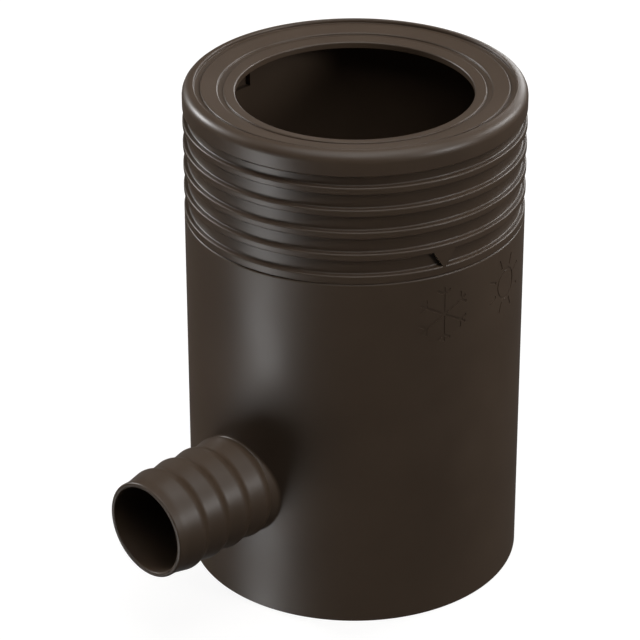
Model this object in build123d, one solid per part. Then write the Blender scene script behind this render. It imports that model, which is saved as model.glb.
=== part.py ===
from build123d import *
import os
from collections import namedtuple
from math import radians, tan

# Rainwater diverter for round downpipes, in millimetres, with Z up.
# The origin is on the body's axis, in the plane of its lower edge, and the hose tail points along -Y.
# Water runs down the pipe wall into the trough round the standpipe and leaves by the hose tail.
# When the trough is full, or the collar is turned to winter, it spills over into the standpipe.

# Body
body_diameter = 110.0
body_wall = 2.5
body_height = 123.9
body_top_bevel = 0.6
body_foot_bevel = 0.4
trough_floor = 28.4
floor_thickness = 2.5
floor_bevel = 1.5
standpipe_diameter = 67.2
standpipe_wall = 2.3
standpipe_height = 49.6
spigot_diameter = 71.0
spigot_wall = 2.3
spigot_lead = 1.5

# Hose tail
tail_height = 43.2
tail_reach = 95.1
tail_bore = 29.2
tail_tip_diameter = 32.4
tail_lip_round = 0.7
tail_bore_bevel = 0.4
tail_shoulder = 3.0
barb_crest_diameter = 35.0
barb_valley_diameter = 32.3
barb_count = 4
barb_pitch = 9.2
barb_back = 3.6
barb_lead = 8.9
barb_nose = 5.4
barb_crest_round = 2.4
tail_root_diameter = 38.0
port_diameter = 24.0

# Turning collar
collar_height = 44.2
rim_height = 8.0
rim_round = 3.5
rim_lower_bevel = 0.6
ridge_count = 5
ridge_pitch = 7.5
ridge_width = 2.4
ridge_depth = 1.7
ridge_bevel = 0.5
foot_ridge_height = 2.9
top_bore = 76.2
web_thickness = 2.2
web_edge_bevel = 0.5
dish_angle = 9.5
dish_lip = 0.5
cut_line_depth = 0.5
cut_line_width = 1.8
cut_line_diameters = [85.5, 100.3]
pointer_width = 7.7
pointer_angle = -15.6

# Shutter skirt of the collar, inside the body
skirt_gap = 0.3
guide_gap = 0.08
skirt_wall = 1.8
skirt_floor_gap = 1.2
guide_height = 6.0
window_width = 24.6
season_turn = 30.0

# Snap bead that keeps the collar down
bead_drop = 9.0
bead_height = 1.8
bead_catch = 0.45
bead_gap = 0.3

# Stop lug that ends the turn at winter and at summer
lug_angle = 75.0
lug_width = 8.0
lug_height = 5.6
lug_catch = 0.8
lug_gap = 0.3
lug_play = 0.5

# Pocket in the collar's inner wall that a turning key holds on to
notch_angle = 181.0
notch_width = 7.4
notch_height = 10.0
notch_depth = 1.7
notch_drop = 7.6

# Rubber ring round the outlet port
seal_width = 1.8
seal_land = 0.6
seal_depth = 1.2
seal_stand = 0.15

# Radii and heights that follow from the sizes above
body_r = body_diameter / 2
inside_r = body_r - body_wall
standpipe_r = standpipe_diameter / 2
spigot_r = spigot_diameter / 2
floor_underside = trough_floor - floor_thickness
standpipe_top = trough_floor + standpipe_height
collar_top = body_height + collar_height
skirt_r = inside_r - skirt_gap
skirt_inner_r = skirt_r - skirt_wall
guide_r = inside_r - guide_gap
recess_r = body_r - ridge_depth
bead_top = body_height - bead_drop
bead_bottom = bead_top - bead_height
bead_r = inside_r + bead_catch
foot_ridge_top = body_height + foot_ridge_height
dish_r = body_r - rim_round - dish_lip / 2
tail_angle = -90.0
over = 1.0


# A corner of a turned outline, sharp unless it has a bevel or a rounding
Corner = namedtuple("Corner", "radius height bevel rounding", defaults=(0, 0))


def bevel_point(corner, neighbour):
    """Point on the side towards a neighbour where a corner's bevel ends."""
    side = Vector(neighbour.radius - corner.radius, neighbour.height - corner.height)
    return Vector(corner.radius, corner.height) + side.normalized() * corner.bevel


def turned(corners):
    """Solid turned about Z from the corners of its outline."""
    points, roundings = [], []
    for number, corner in enumerate(corners):
        before, after = corners[number - 1], corners[(number + 1) % len(corners)]
        if corner.bevel:
            points += [bevel_point(corner, before), bevel_point(corner, after)]
            roundings += [0, 0]
        else:
            points.append((corner.radius, corner.height))
            roundings.append(corner.rounding)
    outline = FilletPolyline(*points, radius=roundings, close=True)
    return revolve(make_face(Plane.XZ * outline), Axis.Z)


def ring(inner_r, outer_r, low, high):
    """Plain upright ring."""
    ends = [(inner_r, low), (outer_r, low), (outer_r, high), (inner_r, high)]
    return turned([Corner(radius, height) for radius, height in ends])


def arc_block(inner_r, outer_r, low, high, middle, width):
    """Part of a ring, width degrees wide, about the azimuth middle."""
    section = Plane.XZ * Pos((inner_r + outer_r) / 2, (low + high) / 2)
    face = section * Rectangle(outer_r - inner_r, high - low)
    return Rot(Z=middle - width / 2) * revolve(face, Axis.Z, revolution_arc=width)


def bar_outwards(diameter, start, end, azimuth):
    """Level round bar at the hose tail's height, from start to end along an azimuth."""
    bar = Cylinder(diameter / 2, end - start, align=(Align.CENTER, Align.CENTER, Align.MIN))
    return Pos(0, 0, tail_height) * Rot(Z=azimuth + 90) * Rot(X=90) * Pos(0, 0, start) * bar


def hose_tail():
    """Barbed tube with its root trimmed to the outside of the body wall."""
    bore_r = tail_bore / 2
    crest_r = barb_crest_diameter / 2
    valley_r = barb_valley_diameter / 2
    tip_r = tail_tip_diameter / 2
    buried = (inside_r ** 2 - (tail_root_diameter / 2) ** 2) ** 0.5 - over
    shoulder = body_r + tail_shoulder
    corners = [Corner(port_diameter / 2, buried), Corner(port_diameter / 2, shoulder)]
    corners += [Corner(bore_r, shoulder), Corner(bore_r, tail_reach, bevel=tail_bore_bevel)]
    corners.append(Corner(tip_r, tail_reach, rounding=tail_lip_round))
    corners.append(Corner(tip_r, tail_reach - barb_lead + barb_nose))
    for number in range(barb_count):
        crest = tail_reach - barb_lead - number * barb_pitch
        corners.append(Corner(crest_r, crest, rounding=barb_crest_round))
        corners.append(Corner(valley_r, crest - barb_back))
    corners.append(Corner(tail_root_diameter / 2, buried))
    tube = Pos(0, 0, tail_height) * Rot(X=90) * turned(corners)
    return tube - Cylinder(body_r, 4 * body_height)


def seal_ring(inner_r, outer_r):
    """Ring round the port between two radii of the body wall."""
    hole = port_diameter + 2 * seal_land
    rim = hole + 2 * seal_width
    washer = bar_outwards(rim, inner_r - over * 5, body_r, tail_angle)
    washer -= bar_outwards(hole, inner_r - over * 6, body_r + over, tail_angle)
    reach = rim / 2 + over
    return washer & ring(inner_r, outer_r, tail_height - reach, tail_height + reach)


def housing():
    """Body with its trough, standpipe and lower spigot, which is one moulding with the hose tail."""
    groove_top = bead_top + bead_gap
    groove_bottom = bead_bottom - bead_gap
    groove_r = bead_r + bead_gap
    shell = turned([
        Corner(body_r, 0, bevel=body_foot_bevel),
        Corner(body_r, body_height, bevel=body_top_bevel),
        Corner(inside_r, body_height),
        Corner(inside_r, groove_top),
        Corner(groove_r, groove_top),
        Corner(groove_r, groove_bottom),
        Corner(inside_r, groove_bottom),
        Corner(inside_r, trough_floor, bevel=floor_bevel),
        Corner(standpipe_r, trough_floor, bevel=floor_bevel),
        Corner(standpipe_r, standpipe_top, bevel=standpipe_wall / 3),
        Corner(standpipe_r - standpipe_wall, standpipe_top, bevel=standpipe_wall / 3),
        Corner(standpipe_r - standpipe_wall, trough_floor),
        Corner(spigot_r - spigot_wall, floor_underside),
        Corner(spigot_r - spigot_wall, 0),
        Corner(spigot_r - spigot_wall / 2, 0),
        Corner(spigot_r, spigot_lead),
        Corner(spigot_r, floor_underside),
        Corner(inside_r, floor_underside),
        Corner(inside_r, 0),
    ])
    solid = shell - bar_outwards(port_diameter, inside_r - over * 5, body_r + over, tail_angle)
    solid -= seal_ring(inside_r - over, inside_r + seal_depth)
    lug_sweep = lug_width + season_turn + 2 * lug_play
    lug_middle = lug_angle + season_turn / 2
    pocket_r = inside_r + lug_catch + lug_gap
    pocket_floor = body_height - lug_height - lug_gap
    solid -= arc_block(inside_r - over, pocket_r, pocket_floor, body_height + over, lug_middle, lug_sweep)
    return solid


def dish_height(radius):
    """Height of the dished top face at a radius."""
    return collar_top - dish_lip - (dish_r - radius) * tan(radians(dish_angle))


def ribbed_sleeve():
    """Outline of the collar from its foot to its rim."""
    corners = [Corner(body_r, body_height, bevel=ridge_bevel)]
    corners.append(Corner(body_r, foot_ridge_top, bevel=ridge_bevel))
    corners.append(Corner(recess_r, foot_ridge_top))
    for number in range(1, ridge_count):
        top = foot_ridge_top + number * ridge_pitch
        corners.append(Corner(recess_r, top - ridge_width))
        corners.append(Corner(body_r, top - ridge_width))
        corners.append(Corner(body_r, top, bevel=ridge_bevel))
        corners.append(Corner(recess_r, top))
    corners.append(Corner(recess_r, collar_top - rim_height))
    corners.append(Corner(body_r, collar_top - rim_height, bevel=rim_lower_bevel))
    corners.append(Corner(body_r, collar_top, rounding=rim_round))
    return corners


def dished_top():
    """Outline of the top face, with a groove to cut along for each larger pipe, to the bore."""
    corners = [Corner(dish_r + dish_lip / 4, collar_top), Corner(dish_r, dish_height(dish_r))]
    for diameter in sorted(cut_line_diameters, reverse=True):
        for radius in (diameter / 2 + cut_line_width / 2, diameter / 2 - cut_line_width / 2):
            ends = [dish_height(radius), dish_height(radius) - cut_line_depth]
            if radius < diameter / 2:
                ends.reverse()
            corners += [Corner(radius, height) for height in ends]
    bore_r = top_bore / 2
    corners.append(Corner(bore_r, dish_height(bore_r), bevel=web_edge_bevel))
    corners.append(Corner(bore_r, dish_height(bore_r) - web_thickness))
    corners.append(Corner(skirt_inner_r, dish_height(skirt_inner_r) - web_thickness))
    return corners


def pointer():
    """Triangle in the lowest recess, level with the ridges, that points at the season mark."""
    wide = foot_ridge_top + ridge_pitch - ridge_width / 2
    tip = foot_ridge_top - foot_ridge_height / 3
    half = pointer_width / 2 * (wide - tip) / (ridge_pitch - ridge_width + foot_ridge_height / 3)
    corners = [(-half, wide), (half, wide), (0, tip)]
    face = Plane.YZ * make_face(Polyline(*corners, close=True))
    block = extrude(Pos(recess_r - over, 0, 0) * face, amount=ridge_depth + 2 * over, dir=(1, 0, 0))
    band = ring(recess_r - over / 2, body_r, tip - over, wide + over)
    return Rot(Z=pointer_angle) * (block & band)


def shutter_window():
    """Arch cut in the skirt, open at its lower edge, which meets the port in summer."""
    angle = tail_angle - season_turn
    arch = bar_outwards(window_width, inside_r / 2, body_r, angle)
    mouth = Box(body_r - inside_r / 2, window_width, tail_height)
    slot = Pos((body_r + inside_r / 2) / 2, 0, tail_height / 2) * mouth
    return arch + Rot(Z=angle) * slot


def turning_collar():
    """Collar with its dished top, ridges, pointer and shutter skirt in one moulding."""
    skirt_bottom = trough_floor + skirt_floor_gap
    bead_slope = bead_catch + skirt_gap
    corners = [
        Corner(skirt_inner_r, skirt_bottom),
        Corner(skirt_r, skirt_bottom),
        Corner(skirt_r, bead_bottom),
        Corner(bead_r, bead_bottom + bead_slope),
        Corner(bead_r, bead_top),
        Corner(skirt_r, bead_top),
        Corner(skirt_r, body_height - guide_height - skirt_gap),
        Corner(guide_r, body_height - guide_height),
        Corner(guide_r, body_height),
    ]
    solid = turned(corners + ribbed_sleeve() + dished_top())
    solid += pointer()
    lug_r = inside_r + lug_catch
    solid += arc_block(skirt_r - over, lug_r, body_height - lug_height, body_height + over, lug_angle, lug_width)
    notch_top = collar_top - notch_drop
    notch_r = skirt_inner_r + notch_depth
    solid -= arc_block(skirt_inner_r - over, notch_r, notch_top - notch_height, notch_top, notch_angle, notch_width)
    return solid - shutter_window()


nodes = {
    "body": housing(),
    "hose_tail": hose_tail(),
    "collar": turning_collar(),
    "outlet_seal": seal_ring(inside_r - seal_stand, inside_r + seal_depth),
}

os.makedirs("parts", exist_ok=True)
for name, solid in nodes.items():
    export_step(solid, f"parts/{name}.step")
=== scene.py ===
import bmesh
import bpy
from math import atan2, cos, hypot, pi, radians, sin, sqrt, tan
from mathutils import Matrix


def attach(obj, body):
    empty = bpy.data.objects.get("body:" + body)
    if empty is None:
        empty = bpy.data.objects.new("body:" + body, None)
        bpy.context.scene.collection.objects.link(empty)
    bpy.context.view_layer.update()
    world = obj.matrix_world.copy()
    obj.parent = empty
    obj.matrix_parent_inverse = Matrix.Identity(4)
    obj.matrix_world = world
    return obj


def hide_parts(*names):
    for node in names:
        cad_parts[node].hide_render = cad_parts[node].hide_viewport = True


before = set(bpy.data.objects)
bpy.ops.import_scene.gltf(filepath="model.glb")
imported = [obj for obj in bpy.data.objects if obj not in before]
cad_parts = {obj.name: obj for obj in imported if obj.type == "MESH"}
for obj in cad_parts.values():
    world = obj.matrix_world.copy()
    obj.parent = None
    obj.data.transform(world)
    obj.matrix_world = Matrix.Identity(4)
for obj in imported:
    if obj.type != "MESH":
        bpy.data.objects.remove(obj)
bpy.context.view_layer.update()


# Camera of the photograph: a long lens that looks down on the diverter from the front right.
# The hose tail points to the lower left and the season marks are at the right.
camera_data = bpy.data.cameras.new("camera")
camera_data.lens = 170.63
camera_data.sensor_width = 36.0
camera_data.clip_end = 20.0
camera = bpy.data.objects.new("camera", camera_data)
camera.location = (0.6120, -0.6369, 0.5539)
camera.rotation_euler = (radians(61.9049), radians(0.1217), radians(44.525))
bpy.context.scene.collection.objects.link(camera)
bpy.context.scene.camera = camera


# Studio: a pale floor that the camera sees as white, apart from the object's soft shadow.
# All other light passes it, as through a glass table, so the dark grey room below shows in the plastic.
# Two pale cards stand there: one beside the hose tail draws the long upright highlight on the housing.
def show_to_camera(nodes, links, shown, otherwise, output):
    """Gives one shader to what the camera sees and another to all other light."""
    seen_by = nodes.new("ShaderNodeLightPath")
    choice = nodes.new("ShaderNodeMixShader")
    links.new(seen_by.outputs["Is Camera Ray"], choice.inputs[0])
    links.new(otherwise, choice.inputs[1])
    links.new(shown, choice.inputs[2])
    links.new(choice.outputs[0], output)


bpy.ops.object.select_all(action="DESELECT")
bpy.ops.mesh.primitive_plane_add(size=12.0, location=(0, 0, 0))
floor = bpy.context.object
floor.name = "floor"
floor_paint = bpy.data.materials.new("floor_paint")
floor_paint.use_nodes = True
nodes, links = floor_paint.node_tree.nodes, floor_paint.node_tree.links
floor_shader = nodes["Principled BSDF"]
floor_shader.inputs["Base Color"].default_value = (0.165, 0.16, 0.155, 1)
floor_shader.inputs["Roughness"].default_value = 0.9
floor_glow = nodes.new("ShaderNodeEmission")
floor_glow.inputs["Strength"].default_value = 0.87
floor_sum = nodes.new("ShaderNodeAddShader")
links.new(floor_glow.outputs[0], floor_sum.inputs[0])
links.new(floor_shader.outputs[0], floor_sum.inputs[1])
clear_glass = nodes.new("ShaderNodeBsdfTransparent")
surface = nodes["Material Output"].inputs["Surface"]
show_to_camera(nodes, links, floor_sum.outputs[0], clear_glass.outputs[0], surface)
floor.data.materials.append(floor_paint)

studio = bpy.data.worlds.new("studio")
studio.use_nodes = True
studio.cycles.sampling_method = "NONE"
nodes, links = studio.node_tree.nodes, studio.node_tree.links
direction = nodes.new("ShaderNodeTexCoord").outputs["Generated"]
split = nodes.new("ShaderNodeSeparateXYZ")
links.new(direction, split.inputs[0])
rise_of_light = split.outputs["Z"]
level = nodes.new("ShaderNodeVectorMath")
level.operation = "MULTIPLY"
level.inputs[1].default_value = (1, 1, 0)
links.new(direction, level.inputs[0])
compass = nodes.new("ShaderNodeVectorMath")
compass.operation = "NORMALIZE"
links.new(level.outputs[0], compass.inputs[0])


def soft_step(value, start, end, least=0.0, most=1.0):
    """Brightness that passes smoothly from least to most while a value goes from start to end."""
    step = nodes.new("ShaderNodeMapRange")
    step.interpolation_type = "SMOOTHSTEP"
    for label, number in (("From Min", start), ("From Max", end), ("To Min", least), ("To Max", most)):
        step.inputs[label].default_value = number
    links.new(value, step.inputs["Value"])
    return step.outputs[0]


def together(operation, first, second):
    """Sum or product of two brightnesses."""
    node = nodes.new("ShaderNodeMath")
    node.operation = operation
    links.new(first, node.inputs[0])
    links.new(second, node.inputs[1])
    return node.outputs[0]


def with_card(behind, azimuth, half_width, soft_side, top, bottom, brightness):
    """Adds a pale card below the table, in degrees and with soft edges, to the light behind it."""
    facing = nodes.new("ShaderNodeVectorMath")
    facing.operation = "DOT_PRODUCT"
    facing.inputs[1].default_value = (cos(radians(azimuth)), sin(radians(azimuth)), 0)
    links.new(compass.outputs[0], facing.inputs[0])
    outside, inside = cos(radians(half_width + soft_side)), cos(radians(half_width - soft_side))
    card = soft_step(facing.outputs["Value"], outside, inside, most=brightness)
    for edge, soft in ((top, 4), (bottom, -6)):
        within = soft_step(rise_of_light, sin(radians(edge + soft)), sin(radians(edge - soft)))
        card = together("MULTIPLY", card, within)
    return together("ADD", card, behind)


room_light = soft_step(rise_of_light, 0.02, -0.12, least=0.03, most=0.05)
room_light = with_card(
    room_light, azimuth=-110, half_width=8.5, soft_side=5.5, top=-16, bottom=-38, brightness=8.9
)
room_light = with_card(
    room_light, azimuth=134, half_width=16, soft_side=6, top=-3, bottom=-80, brightness=0.2
)
room = nodes["Background"]
room.inputs["Color"].default_value = (1, 1, 1, 1)
links.new(room_light, room.inputs["Strength"])
backdrop = nodes.new("ShaderNodeBackground")
backdrop.inputs["Color"].default_value = (1, 1, 1, 1)
surface = nodes["World Output"].inputs["Surface"]
show_to_camera(nodes, links, backdrop.outputs[0], room.outputs[0], surface)
bpy.context.scene.world = studio
bpy.context.scene.view_settings.view_transform = "Standard"

lamp_distance = 1.2
lamp_aim = 0.08


def softbox(name, azimuth, rise, width, height, power):
    """Area lamp that faces the middle of the diverter from an azimuth and a rise in degrees."""
    lamp_data = bpy.data.lights.new(name, "AREA")
    lamp_data.shape = "RECTANGLE"
    lamp_data.size, lamp_data.size_y = width, height
    lamp_data.energy = power
    lamp = bpy.data.objects.new(name, lamp_data)
    across, up = radians(azimuth), radians(rise)
    away = lamp_distance * cos(up)
    lamp.location = (away * cos(across), away * sin(across), lamp_aim + lamp_distance * sin(up))
    lamp.rotation_euler = (pi / 2 - up, 0, across + pi / 2)
    bpy.context.scene.collection.objects.link(lamp)


softbox("overhead", 0, 88, 0.9, 0.9, 5.4)
softbox("key_low_right", 16, 22, 0.25, 0.3, 4.4)
softbox("key_high_right", 2, 55, 1.0, 0.8, 2.4)
softbox("front_high", -60, 62, 0.8, 0.6, 2.2)
softbox("rim_left", -168, 24, 0.25, 0.25, 8.0)
softbox("rim_right", 74, 26, 0.3, 0.3, 5.6)
softbox("back_right", 112, 14, 0.4, 0.4, 3.0)
softbox("back", 134, 34, 0.9, 0.4, 0.2)


# Round housing: brown PVC, injection moulded in one piece with trough, standpipe and lower spigot.
# The collar snaps into the groove near its top, and its stop lug runs in the pocket at the edge.
# A snowflake and a sun are sunk in its wall under the collar, thirty degrees apart.
mm = 0.001
body_height = 123.9
body_radius = 55.0
body_inside = 52.5
trough_floor = 28.4
floor_underside = 25.9
standpipe_outside = 33.6
standpipe_inside = 31.3
standpipe_top = 78.0
spigot_outside = 35.5
spigot_inside = 33.2
spigot_lead = 1.5
bead_radius = 52.95
bead_top = 114.9
bead_foot = 113.1
bead_gap = 0.3
lug_azimuth = 75.0
lug_width = 8.0
lug_radius = 53.3
lug_foot = 118.3
lug_gap = 0.3
lug_play = 0.5
season_turn = 30.0


def pick(piece):
    """Selects one piece alone, for the operators that follow."""
    bpy.ops.object.select_all(action="DESELECT")
    bpy.context.view_layer.objects.active = piece
    piece.select_set(True)


def settle(piece, turn=(0, 0, 0), move=(0, 0, 0)):
    """Turns a piece, moves it and writes both into its mesh, with any stretch it has."""
    piece.rotation_euler, piece.location = turn, move
    pick(piece)
    bpy.ops.object.transform_apply(location=True, rotation=True, scale=True)


def outline_spot(radius, height):
    """Place in an outline, to a hundredth of a mm."""
    return round(radius * 100), round(height * 100)


def edge_spots(ends):
    """Places in the outline of an edge's two ends, which are one place if the edge runs round the axis."""
    return {outline_spot(hypot(end.co.x, end.co.y) / mm, end.co.z / mm) for end in ends}


def turned_piece(name, corners, around=256, fillet_steps=5):
    """Circle drawn from corner (radius, height, rounding) to corner in mm, closed and then rounded."""
    bpy.ops.object.select_all(action="DESELECT")
    radius, height = corners[0][0] * mm, corners[0][1] * mm
    bpy.ops.mesh.primitive_circle_add(vertices=around, radius=radius, location=(0, 0, height))
    piece = bpy.context.object
    piece.name = name
    bpy.ops.object.transform_apply(location=True)
    bpy.ops.object.mode_set(mode="EDIT")
    bpy.ops.mesh.select_mode(type="EDGE")
    bpy.ops.mesh.select_all(action="SELECT")
    for corner in corners[1:]:
        rise, spread = corner[1] * mm - height, corner[0] * mm / radius
        bpy.ops.mesh.extrude_edges_move(TRANSFORM_OT_translate={"value": (0, 0, rise)})
        bpy.ops.transform.resize(value=(spread, spread, 1), center_override=(0, 0, 0))
        radius, height = corner[0] * mm, corner[1] * mm
    mesh = bmesh.from_edit_mesh(piece.data)
    for edge in mesh.edges:
        at_start = edge_spots(edge.verts) == {outline_spot(corners[0][0], corners[0][1])}
        edge.select = edge.select or (at_start and len(edge.link_faces) == 1)
    bmesh.update_edit_mesh(piece.data)
    bpy.ops.mesh.bridge_edge_loops()
    bpy.ops.mesh.select_all(action="SELECT")
    bpy.ops.mesh.normals_make_consistent(inside=False)
    bpy.ops.object.mode_set(mode="OBJECT")
    widest = max(rounding for _, _, rounding in corners)
    roundings = {outline_spot(radius, height): rounding for radius, height, rounding in corners}
    weights = piece.data.attributes.new("bevel_weight_edge", "FLOAT", "EDGE")
    for edge in piece.data.edges:
        spots = edge_spots([piece.data.vertices[index] for index in edge.vertices])
        if len(spots) == 1:
            weights.data[edge.index].value = roundings.get(spots.pop(), 0) / widest
    bpy.ops.object.modifier_add(type="BEVEL")
    rounding_tool = piece.modifiers[-1]
    rounding_tool.limit_method = "WEIGHT"
    rounding_tool.width = widest * mm
    rounding_tool.segments = fillet_steps
    bpy.ops.object.modifier_apply(modifier=rounding_tool.name)
    return piece


def carve(piece, cutter, operation="DIFFERENCE"):
    """Takes a cutter out of a piece, or with UNION or INTERSECT joins or keeps what they share."""
    pick(piece)
    bpy.ops.object.modifier_add(type="BOOLEAN")
    tool = piece.modifiers[-1]
    tool.operation, tool.solver, tool.object = operation, "MANIFOLD", cutter
    bpy.ops.object.modifier_apply(modifier=tool.name)
    bpy.data.objects.remove(cutter)


def round_bar(name, radius, length, around):
    """Round bar that stands on end, with its middle at the origin, in mm."""
    bpy.ops.object.select_all(action="DESELECT")
    bpy.ops.mesh.primitive_cylinder_add(vertices=around, radius=radius * mm, depth=length * mm)
    bar = bpy.context.object
    bar.name = name
    return bar


def level_bar(name, radius, start, end, azimuth, height, around=96):
    """Round bar that lies along an azimuth, in mm."""
    bar = round_bar(name, radius, end - start, around)
    middle, across = (start + end) / 2 * mm, radians(azimuth)
    settle(bar, (pi / 2, 0, across + pi / 2), (middle * cos(across), middle * sin(across), height * mm))
    return bar


def arc_block(name, radii, heights, azimuth, width, steps=8):
    """Block bent round the axis, width degrees wide, in mm. Spin turns it clockwise from its start."""
    bpy.ops.object.select_all(action="DESELECT")
    bpy.ops.mesh.primitive_plane_add(size=1.0)
    block = bpy.context.object
    block.name = name
    block.scale = ((radii[1] - radii[0]) * mm, (heights[1] - heights[0]) * mm, 1)
    settle(block, (pi / 2, 0, 0), (sum(radii) / 2 * mm, 0, sum(heights) / 2 * mm))
    bpy.ops.object.mode_set(mode="EDIT")
    bpy.ops.mesh.select_all(action="SELECT")
    bpy.ops.mesh.spin(steps=steps, angle=radians(width), center=(0, 0, 0), axis=(0, 0, 1))
    bpy.ops.mesh.select_all(action="SELECT")
    bpy.ops.mesh.remove_doubles(threshold=1e-6)
    bpy.ops.mesh.normals_make_consistent(inside=False)
    bpy.ops.object.mode_set(mode="OBJECT")
    settle(block, (0, 0, radians(azimuth + width / 2)))
    return block


def smooth_finish(piece, angle=28):
    """Smooth shading with sharp edges kept, and flat faces left flat beside their fillets."""
    pick(piece)
    bpy.ops.object.shade_smooth_by_angle(angle=radians(angle))
    bpy.ops.object.modifier_add(type="WEIGHTED_NORMAL")
    weighting = piece.modifiers[-1]
    weighting.keep_sharp = True
    bpy.ops.object.modifier_apply(modifier=weighting.name)


body = turned_piece("housing_shell", [
    (body_radius, 0, 0.6),
    (body_radius, body_height, 0.7),
    (body_inside, body_height, 0.3),
    (body_inside, bead_top + bead_gap, 0.2),
    (bead_radius + bead_gap, bead_top + bead_gap, 0),
    (bead_radius + bead_gap, bead_foot - bead_gap, 0),
    (body_inside, bead_foot - bead_gap, 0.2),
    (body_inside, trough_floor, 1.8),
    (standpipe_outside, trough_floor, 1.8),
    (standpipe_outside, standpipe_top, 0.9),
    (standpipe_inside, standpipe_top, 0.9),
    (standpipe_inside, trough_floor, 0.6),
    (spigot_inside, floor_underside, 0.6),
    (spigot_inside, 0, 0.3),
    ((spigot_inside + spigot_outside) / 2, 0, 0.3),
    (spigot_outside, spigot_lead, 0.3),
    (spigot_outside, floor_underside, 1.2),
    (body_inside, floor_underside, 1.2),
    (body_inside, 0, 0.3),
])
tail_height = 43.2
tail_azimuth = -90.0
port_radius = 12.0
seat_outside, seat_inside = 14.4, 12.6
seat_depth = 1.2
carve(body, level_bar("port_drill", port_radius, 47.0, 57.0, tail_azimuth, tail_height))
seal_seat = level_bar("seal_seat", seat_outside, 45.0, 60.0, tail_azimuth, tail_height)
carve(seal_seat, level_bar("seal_core", seat_inside, 44.0, 61.0, tail_azimuth, tail_height))
carve(seal_seat, round_bar("seat_floor", body_inside + seat_depth, 200.0, 256), "INTERSECT")
carve(body, seal_seat)
carve(body, arc_block(
    "lug_pocket",
    radii=(body_inside - 1.0, lug_radius + lug_gap),
    heights=(lug_foot - lug_gap, body_height + 1.1),
    azimuth=lug_azimuth + season_turn / 2,
    width=lug_width + season_turn + 2 * lug_play,
    steps=40,
))

# The season marks are milled in the mould, so each groove has a flat floor and crisp edges.
mark_line = 0.8
mark_depth = 0.17
mark_cutter = 8.0
snowflake_azimuth, snowflake_height = -15.55, 109.75
snowflake_arm = 9.5
twig_place, twig_length = 7.2, 2.7
sun_azimuth, sun_height = 14.5, 110.3
sun_outside, sun_inside = 5.4, 4.5
ray_start, ray_end = 6.3, 10.0


def mark_stroke(start, end, turn):
    """Straight cutter for a stroke of a mark, from start to end along a direction in the wall, in mm."""
    bpy.ops.object.select_all(action="DESELECT")
    bpy.ops.mesh.primitive_cube_add(size=1.0)
    bar = bpy.context.object
    bar.scale = (mark_cutter * mm, (end - start) * mm, mark_line * mm)
    settle(bar, move=(body_radius * mm, (start + end) / 2 * mm, 0))
    settle(bar, turn=(radians(turn), 0, 0))
    return bar


def sink_mark(strokes, azimuth, height, ring=None):
    """Puts the strokes in their place, joins them to the ring and cuts them as deep as a mark is."""
    for stroke in strokes:
        settle(stroke, turn=(0, 0, radians(azimuth)), move=(0, 0, height * mm))
    mark, *others = ([ring] if ring else []) + strokes
    for stroke in others:
        carve(mark, stroke, "UNION")
    carve(mark, round_bar("mark_floor", body_radius - mark_depth, 400.0, 512))
    carve(body, mark)


strokes = [mark_stroke(-snowflake_arm, snowflake_arm, 90 - turn) for turn in (0, 60, 120)]
for arm in range(6):
    for lean in (-60, 60):
        twig = mark_stroke(0, twig_length, lean)
        settle(twig, move=(0, twig_place * mm, 0))
        settle(twig, turn=(radians(90 + 60 * arm), 0, 0))
        strokes.append(twig)
sink_mark(strokes, snowflake_azimuth, snowflake_height)

strokes = [mark_stroke(ray_start, ray_end, 45 * ray + 22.5) for ray in range(8)]
sun_ring = level_bar("sun_ring", sun_outside, 51.0, 59.0, sun_azimuth, sun_height, 64)
carve(sun_ring, level_bar("sun_disc", sun_inside, 50.0, 60.0, sun_azimuth, sun_height, 64))
sink_mark(strokes, sun_azimuth, sun_height, sun_ring)
smooth_finish(body)

# Moulded grain: fine pits from the spark-eroded mould, cloudy patches of more and less gloss,
# and a faint drift of the brown where the plastic flowed.
grain = bpy.data.node_groups.new("moulded_grain", "ShaderNodeTree")
grain.interface.new_socket("Vector", in_out="INPUT", socket_type="NodeSocketVector")
grain.interface.new_socket("Color", in_out="INPUT", socket_type="NodeSocketColor")
for label in ("Tint Spread", "Roughness", "Roughness Spread", "Pit Size", "Patch Size"):
    grain.interface.new_socket(label, in_out="INPUT", socket_type="NodeSocketFloat")
grain.interface.new_socket("Color", in_out="OUTPUT", socket_type="NodeSocketColor")
for label in ("Roughness", "Height"):
    grain.interface.new_socket(label, in_out="OUTPUT", socket_type="NodeSocketFloat")
asked = grain.nodes.new("NodeGroupInput").outputs
given = grain.nodes.new("NodeGroupOutput").inputs
noise_low, noise_high = 0.3, 0.7


def worked_out(operation, first, second):
    """Result of a Math node in the grain on two inputs, of which the first may be a plain number."""
    node = grain.nodes.new("ShaderNodeMath")
    node.operation = operation
    if isinstance(first, float):
        node.inputs[0].default_value = first
    else:
        grain.links.new(first, node.inputs[0])
    grain.links.new(second, node.inputs[1])
    return node.outputs[0]


def speckle(size, detail, roughness):
    """Noise over the piece with spots of about the given size."""
    noise = grain.nodes.new("ShaderNodeTexNoise")
    noise.inputs["Detail"].default_value = detail
    noise.inputs["Roughness"].default_value = roughness
    grain.links.new(asked["Vector"], noise.inputs["Vector"])
    grain.links.new(worked_out("DIVIDE", 1.0, size), noise.inputs["Scale"])
    return noise.outputs["Fac"]


def spread_about(middle, spread, noise):
    """Value that drifts with a noise as far as its spread to either side of its middle."""
    drift = grain.nodes.new("ShaderNodeMapRange")
    drift.inputs["From Min"].default_value = noise_low
    drift.inputs["From Max"].default_value = noise_high
    grain.links.new(noise, drift.inputs["Value"])
    grain.links.new(worked_out("SUBTRACT", middle, spread), drift.inputs["To Min"])
    grain.links.new(worked_out("ADD", middle, spread), drift.inputs["To Max"])
    return drift.outputs[0]


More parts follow.
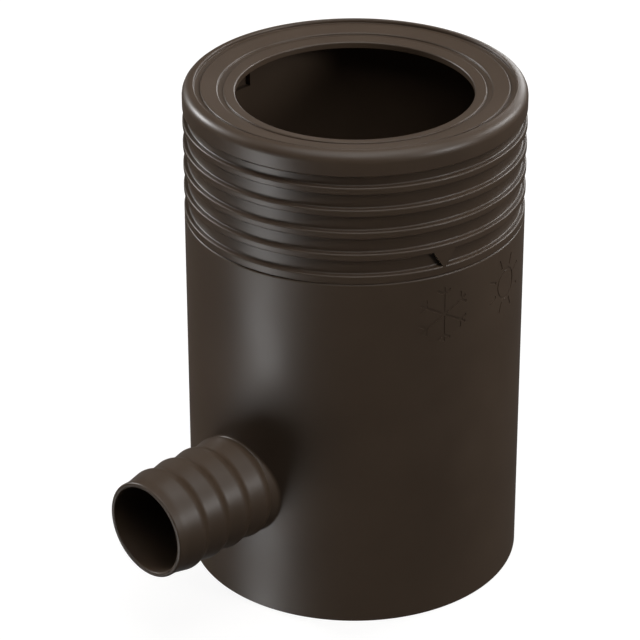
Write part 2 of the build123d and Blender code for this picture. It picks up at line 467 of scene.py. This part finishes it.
grain.links.new(speckle(asked["Pit Size"], 3.0, 0.55), given["Height"])
patches = speckle(asked["Patch Size"], 4.0, 0.5)
grain.links.new(spread_about(asked["Roughness"], asked["Roughness Spread"], patches), given["Roughness"])
tinted = grain.nodes.new("ShaderNodeVectorMath")
tinted.operation = "SCALE"
grain.links.new(asked["Color"], tinted.inputs[0])
grain.links.new(spread_about(1.0, asked["Tint Spread"], patches), tinted.inputs["Scale"])
grain.links.new(tinted.outputs[0], given["Color"])


def moulded_plastic(name, colour, roughness, spread, pit_size, pit_depth):
    """Satin moulded plastic: the grain group feeds the shader's colour, roughness and bump."""
    material = bpy.data.materials.new(name)
    material.use_nodes = True
    nodes, links = material.node_tree.nodes, material.node_tree.links
    shader = nodes["Principled BSDF"]
    shader.inputs["IOR"].default_value = 1.45
    where = nodes.new("ShaderNodeTexCoord")
    skin = nodes.new("ShaderNodeGroup")
    skin.node_tree = grain
    skin.inputs["Color"].default_value = colour
    skin.inputs["Tint Spread"].default_value = 0.06
    skin.inputs["Roughness"].default_value = roughness
    skin.inputs["Roughness Spread"].default_value = spread
    skin.inputs["Pit Size"].default_value = pit_size
    skin.inputs["Patch Size"].default_value = 0.02
    bump = nodes.new("ShaderNodeBump")
    bump.inputs["Strength"].default_value = 0.35
    bump.inputs["Distance"].default_value = pit_depth
    links.new(where.outputs["Object"], skin.inputs["Vector"])
    links.new(skin.outputs["Color"], shader.inputs["Base Color"])
    links.new(skin.outputs["Roughness"], shader.inputs["Roughness"])
    links.new(skin.outputs["Height"], bump.inputs["Height"])
    links.new(bump.outputs["Normal"], shader.inputs["Normal"])
    return material


brown = (0.065, 0.0433, 0.0283, 1)
pvc_pits = {"pit_size": 0.0004, "pit_depth": 0.00002}
body_plastic = moulded_plastic("brown_pvc_body", brown, roughness=0.43, spread=0.03, **pvc_pits)
body.data.materials.clear()
body.data.materials.append(body_plastic)
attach(body, "housing")
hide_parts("body")


# Hose tail: the barbed stub that grows out of the housing in the same brown PVC.
# Four soft barbs hold a 32 mm hose, and the lip at its mouth is thin and rounded.
tail_reach = 95.1
tail_bore = 14.6
shoulder_reach = 58.0
lip_radius, lip_length = 16.2, 3.5
crest_radius, valley_radius = 17.5, 16.15
barb_count = 4
barb_start, barb_pitch, barb_back = 10.0, 9.2, 2.5
port_reach = 54.0
root_reach = 53.0
root_rings = 5
root_radius, root_end = 19.0, 47.94
root_slope = (root_radius - valley_radius) / (body_radius - root_end)
root_fillet = 0.7
root_sink, root_hold = 0.02, 0.4


def wall_distance(radius, turn):
    """How far the housing's face lies from its axis where a ring of the tail meets it."""
    return sqrt(body_radius ** 2 - (radius * sin(turn)) ** 2)


def root_spot(ring, turn):
    """Radius and reach of a ring of the root at a turn: rings 0 to 3 draw the fillet, 4 is in the wall."""
    meets = valley_radius
    for _ in range(12):  # each round comes closer to where the slope meets the wall
        meets = valley_radius + (body_radius - wall_distance(meets, turn)) * root_slope
    corner = (meets, wall_distance(meets, turn))
    above = (max(meets - root_fillet * 0.35, valley_radius), corner[1] + root_fillet)
    beside = (meets + root_fillet, wall_distance(meets + root_fillet, turn) - root_sink)
    if ring == root_rings - 1:
        return beside[0], wall_distance(beside[0], turn) - root_hold
    share = ring / (root_rings - 2)
    pulls = ((1 - share) ** 2, 2 * share * (1 - share), share ** 2)
    return [sum(pull * spot[side] for pull, spot in zip(pulls, (above, corner, beside))) for side in (0, 1)]


tail_corners = [
    (port_radius, port_reach, 0),
    (port_radius, shoulder_reach, 0.3),
    (tail_bore, shoulder_reach, 0.3),
    (tail_bore, tail_reach, 0.45),
    (lip_radius, tail_reach, 0.7),
    (lip_radius, tail_reach - lip_length, 1.0),
]
for number in range(barb_count):
    crest = tail_reach - barb_start - barb_pitch * number
    valley_round = 0.9 if number < barb_count - 1 else 0
    tail_corners += [(crest_radius, crest, 1.3), (valley_radius, crest - barb_back, valley_round)]
tail_corners += [(root_radius - 2.0, root_reach - ring, 0) for ring in range(root_rings)]
tail = turned_piece("hose_tail_barbs", tail_corners, around=144)

# The root is turned straight at first. Its rings are then laid on the round wall, and so is the port's end.
for vertex in tail.data.vertices:
    radius, turn = hypot(vertex.co.x, vertex.co.y) / mm, atan2(vertex.co.x, vertex.co.y)
    reach = vertex.co.z / mm
    if reach > port_reach + 0.5:
        continue
    if radius < tail_bore:
        reach = wall_distance(radius, turn) - root_hold
    else:
        radius, reach = root_spot(round(root_reach - reach), turn)
    vertex.co = (radius * sin(turn) * mm, radius * cos(turn) * mm, reach * mm)
settle(tail, turn=(pi / 2, 0, 0), move=(0, 0, tail_height * mm))
smooth_finish(tail, 35)
tail.data.materials.append(body_plastic)
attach(tail, "housing")
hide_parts("hose_tail")


# Turning collar: a second moulding of the same brown PVC, with ridges, a rounded rim and a dished top.
# Two grooves show where to cut the top for wider pipes. Its skirt snaps into the housing
# and shuts the outlet in winter.
rim_top = 168.1
rim_foot = 160.1
rim_inside = 51.3
rim_round = 3.45
recess_radius = 53.3
ridge_height = 2.4
ridge_pitch = 7.5
first_ridge_top = 126.8
dish_edge, dish_angle, dish_lip = 51.25, 9.5, 0.5
top_bore, bore_foot = 38.1, 163.2
web_thickness = 2.2
cut_line_half, cut_line_depth = 0.9, 0.6
skirt_outside = 52.2
skirt_inside = 50.4
skirt_foot = 29.6
guide_radius, guide_foot = 52.42, 117.6


def dish(radius, down=0.0):
    """Height of the dished top at a radius, or of a face some way down from it."""
    return rim_top - dish_lip - (dish_edge - radius) * tan(radians(dish_angle)) - down


collar_corners = [
    (skirt_inside, skirt_foot, 0.4),
    (skirt_outside, skirt_foot, 0.4),
    (skirt_outside, bead_foot, 0.3),
    (bead_radius, bead_foot + 0.75, 0.15),
    (bead_radius, bead_top, 0.15),
    (skirt_outside, bead_top, 0),
    (skirt_outside, guide_foot, 0),
    (guide_radius, guide_foot + 0.3, 0),
    (guide_radius, body_height, 0),
    (body_radius, body_height, 0.45),
    (body_radius, first_ridge_top, 0.55),
    (recess_radius, first_ridge_top, 0.6),
]
for number in range(1, 5):
    ridge_top = first_ridge_top + ridge_pitch * number
    collar_corners += [
        (recess_radius, ridge_top - ridge_height, 0.25),
        (body_radius, ridge_top - ridge_height, 0.45),
        (body_radius, ridge_top, 0.55),
        (recess_radius, ridge_top, 0.6),
    ]
collar_corners += [
    (recess_radius, rim_foot, 0.25),
    (body_radius, rim_foot, 0.9),
    (body_radius, rim_top, rim_round),
    (rim_inside, rim_top, 0.2),
]
for cut_line_diameter, outer_round in ((100.3, 0.1), (85.5, 0.45)):
    outer, inner = cut_line_diameter / 2 + cut_line_half, cut_line_diameter / 2 - cut_line_half
    collar_corners += [
        (outer, dish(outer), outer_round),
        (outer, dish(outer, cut_line_depth), 0.12),
        (inner, dish(inner, cut_line_depth), 0.12),
        (inner, dish(inner), 0.45),
    ]
collar_corners += [
    (top_bore, dish(top_bore), 0.5),
    (top_bore, bore_foot, 0.3),
    (skirt_inside, dish(skirt_inside, web_thickness), 1.2),
]
collar = turned_piece("turning_collar", collar_corners, fillet_steps=6)
lug_radii = (skirt_outside - 1.0, lug_radius)
lug_heights = (lug_foot, body_height + 1.0)
carve(collar, arc_block("stop_lug", lug_radii, lug_heights, lug_azimuth, lug_width), "UNION")
key_azimuth, key_width = 181.0, 7.4
key_radii = (skirt_inside - 1.0, skirt_inside + 1.7)
key_heights = (150.5, 160.5)
carve(collar, arc_block("key_pocket", key_radii, key_heights, key_azimuth, key_width))
window_azimuth, window_width = -120.0, 24.6
window_start, window_end = 45.0, 56.0
window_arch = level_bar(
    "window_arch", window_width / 2, window_start, window_end, window_azimuth, tail_height
)
carve(collar, window_arch)
bpy.ops.object.select_all(action="DESELECT")
bpy.ops.mesh.primitive_cube_add(size=1.0)
window_mouth = bpy.context.object
window_mouth.scale = ((window_end - window_start) * mm, window_width * mm, tail_height * mm)
settle(window_mouth, move=((window_start + window_end) / 2 * mm, 0, tail_height / 2 * mm))
settle(window_mouth, turn=(0, 0, radians(window_azimuth)))
carve(collar, window_mouth)

# Pointer: a triangle between the lowest two ridges, level with them, with its tip over the season.
pointer_azimuth = -15.6
pointer_top, pointer_tip, pointer_half = 133.2, 125.8, 4.6
pointer_back, pointer_face = 52.3, body_radius - 0.02
pointer_blank = 4.0
bpy.ops.object.select_all(action="DESELECT")
bpy.ops.mesh.primitive_circle_add(vertices=3, radius=1.0, fill_type="NGON")
pointer = bpy.context.object
pointer.name = "pointer"
pointer_corners = ((-pointer_half, pointer_top), (0, pointer_tip), (pointer_half, pointer_top))
for vertex, (across, height) in zip(pointer.data.vertices, pointer_corners):
    vertex.co = (pointer_back * mm, across * mm, height * mm)
bpy.ops.object.mode_set(mode="EDIT")
bpy.ops.mesh.select_all(action="SELECT")
bpy.ops.mesh.extrude_region_move(TRANSFORM_OT_translate={"value": (pointer_blank * mm, 0, 0)})
bpy.ops.mesh.select_all(action="SELECT")
bpy.ops.mesh.normals_make_consistent(inside=False)
bpy.ops.object.mode_set(mode="OBJECT")
carve(pointer, round_bar("pointer_gauge", pointer_face, 400.0, 256), "INTERSECT")
settle(pointer, turn=(0, 0, radians(pointer_azimuth)))
carve(collar, pointer, "UNION")
smooth_finish(collar)
collar_plastic = moulded_plastic("brown_pvc_collar", brown, roughness=0.40, spread=0.03, **pvc_pits)
collar.data.materials.clear()
collar.data.materials.append(collar_plastic)
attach(collar, "selector")
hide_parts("collar")


# Outlet seal: a black rubber ring pressed into its seat round the port inside the housing.
# The collar's skirt turns on it. Rubber scatters light, so it has almost no gloss.
black = (0.022, 0.022, 0.023, 1)
rubber_pits = {"pit_size": 0.0003, "pit_depth": 0.00003}
seal_rubber = moulded_plastic("black_rubber", black, roughness=0.75, spread=0.08, **rubber_pits)
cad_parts["outlet_seal"].data.materials.clear()
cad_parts["outlet_seal"].data.materials.append(seal_rubber)
